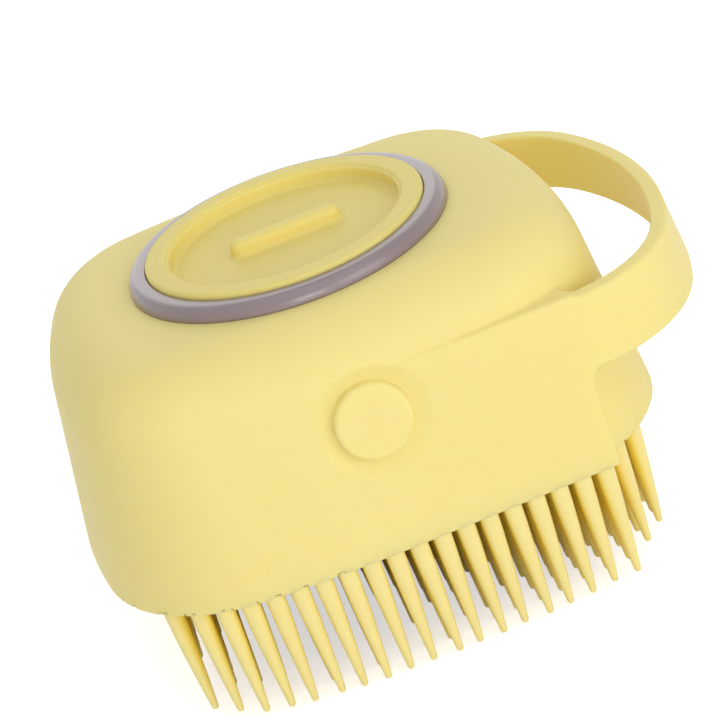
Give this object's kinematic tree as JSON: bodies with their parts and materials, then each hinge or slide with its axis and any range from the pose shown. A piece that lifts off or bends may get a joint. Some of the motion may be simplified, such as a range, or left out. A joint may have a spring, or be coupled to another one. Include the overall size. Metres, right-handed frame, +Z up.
{
  "type": "silicone bath brush",
  "caption": "Palm-sized silicone bathing brush: squeezable hollow body with a plug lid, a finger strap and a dense field of soft tapered bristles.",
  "frame": {"origin": "bottom centre of the whole brush, in the plane its bristle tips stand on", "axes": "+Z up through the lid, +X towards the finger strap, +Y across the brush; the brush mirrors in the XZ plane"},
  "size_m": [0.1001, 0.077, 0.0559],
  "materials": {
    "yellow_silicone": "soft matte moulded silicone, slightly translucent",
    "grey_plastic": "smooth translucent plastic"
  },
  "bodies": {
    "brush": {"brush_body": "yellow_silicone", "finger_strap": "yellow_silicone", "side_button_near": "yellow_silicone", "side_button_far": "yellow_silicone", "bristles_left": "yellow_silicone", "bristles_right": "yellow_silicone", "bristles_front": "yellow_silicone", "bristles_rear": "yellow_silicone", "outlet_valve": "yellow_silicone", "mouth_collar": "grey_plastic"},
    "lid": {"reservoir_lid": "yellow_silicone"}
  },
  "joints": [
    {"name": "lid_lift", "type": "slide", "parent": "brush", "child": "lid", "axis": [0, 0, 1], "range_m": [0, 0.05]}
  ]
}
